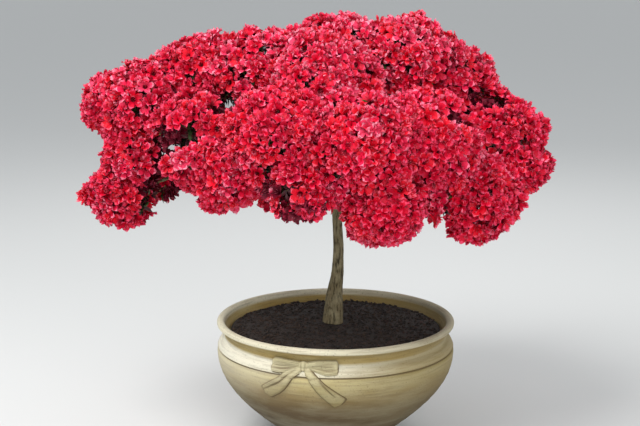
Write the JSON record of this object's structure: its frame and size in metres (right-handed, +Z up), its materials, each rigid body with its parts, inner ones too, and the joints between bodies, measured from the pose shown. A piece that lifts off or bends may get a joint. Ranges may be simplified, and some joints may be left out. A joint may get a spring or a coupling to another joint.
{
  "type": "potted azalea standard",
  "caption": "Red azalea grown as a standard: a clear stem under a wide, arching crown in full flower, in a wide round clay bowl with a ribbon bow in relief.",
  "frame": {"origin": "centre of the bowl's flat underside", "axes": "+Z up along the bowl's axis; +X to the viewer's right and +Y away from the viewer, as the picture shows the plant"},
  "size_m": [1.1843, 1.0357, 1.0791],
  "materials": {
    "terracotta": "unglazed buff clay, weathered, matt",
    "compost": "moist dark potting compost",
    "bark": "greyish olive-brown bark with fine relief",
    "blossom": "soft red petals, lighter and pinker where lit"
  },
  "bodies": {
    "root": {"bow_relief": "terracotta", "compost": "compost", "limb_back_left": "bark", "limb_back_mid": "bark", "limb_back_right": "bark", "limb_brow_left": "bark", "limb_cheek_left": "bark", "limb_crest_left": "bark", "limb_flank_front": "bark", "limb_flank_left": "bark", "limb_flank_right": "bark", "limb_front_left": "bark", "limb_front_mid": "bark", "limb_front_right": "bark", "limb_inner_left": "bark", "limb_shoulder_left": "bark", "limb_shoulder_right": "bark", "limb_skirt_back_left": "bark", "limb_skirt_back_mid": "bark", "limb_skirt_back_right": "bark", "limb_skirt_far": "bark", "limb_skirt_left": "bark", "limb_skirt_mid": "bark", "limb_skirt_right": "bark", "limb_tail_left": "bark", "limb_tip_right": "bark", "limb_top_back": "bark", "limb_top_front": "bark", "limb_top_left": "bark", "limb_top_right": "bark", "mass_back_left": "blossom", "mass_back_mid": "blossom", "mass_back_right": "blossom", "mass_brow_left": "blossom", "mass_cheek_left": "blossom", "mass_crest_left": "blossom", "mass_flank_front": "blossom", "mass_flank_left": "blossom", "mass_flank_right": "blossom", "mass_front_left": "blossom", "mass_front_mid": "blossom", "mass_front_right": "blossom", "mass_inner_left": "blossom", "mass_shoulder_left": "blossom", "mass_shoulder_right": "blossom", "mass_skirt_back_left": "blossom", "mass_skirt_back_mid": "blossom", "mass_skirt_back_right": "blossom", "mass_skirt_far": "blossom", "mass_skirt_left": "blossom", "mass_skirt_mid": "blossom", "mass_skirt_right": "blossom", "mass_tail_left": "blossom", "mass_tip_right": "blossom", "mass_top_back": "blossom", "mass_top_front": "blossom", "mass_top_left": "blossom", "mass_top_right": "blossom", "pot": "terracotta", "trunk": "bark"}
  },
  "joints": []
}
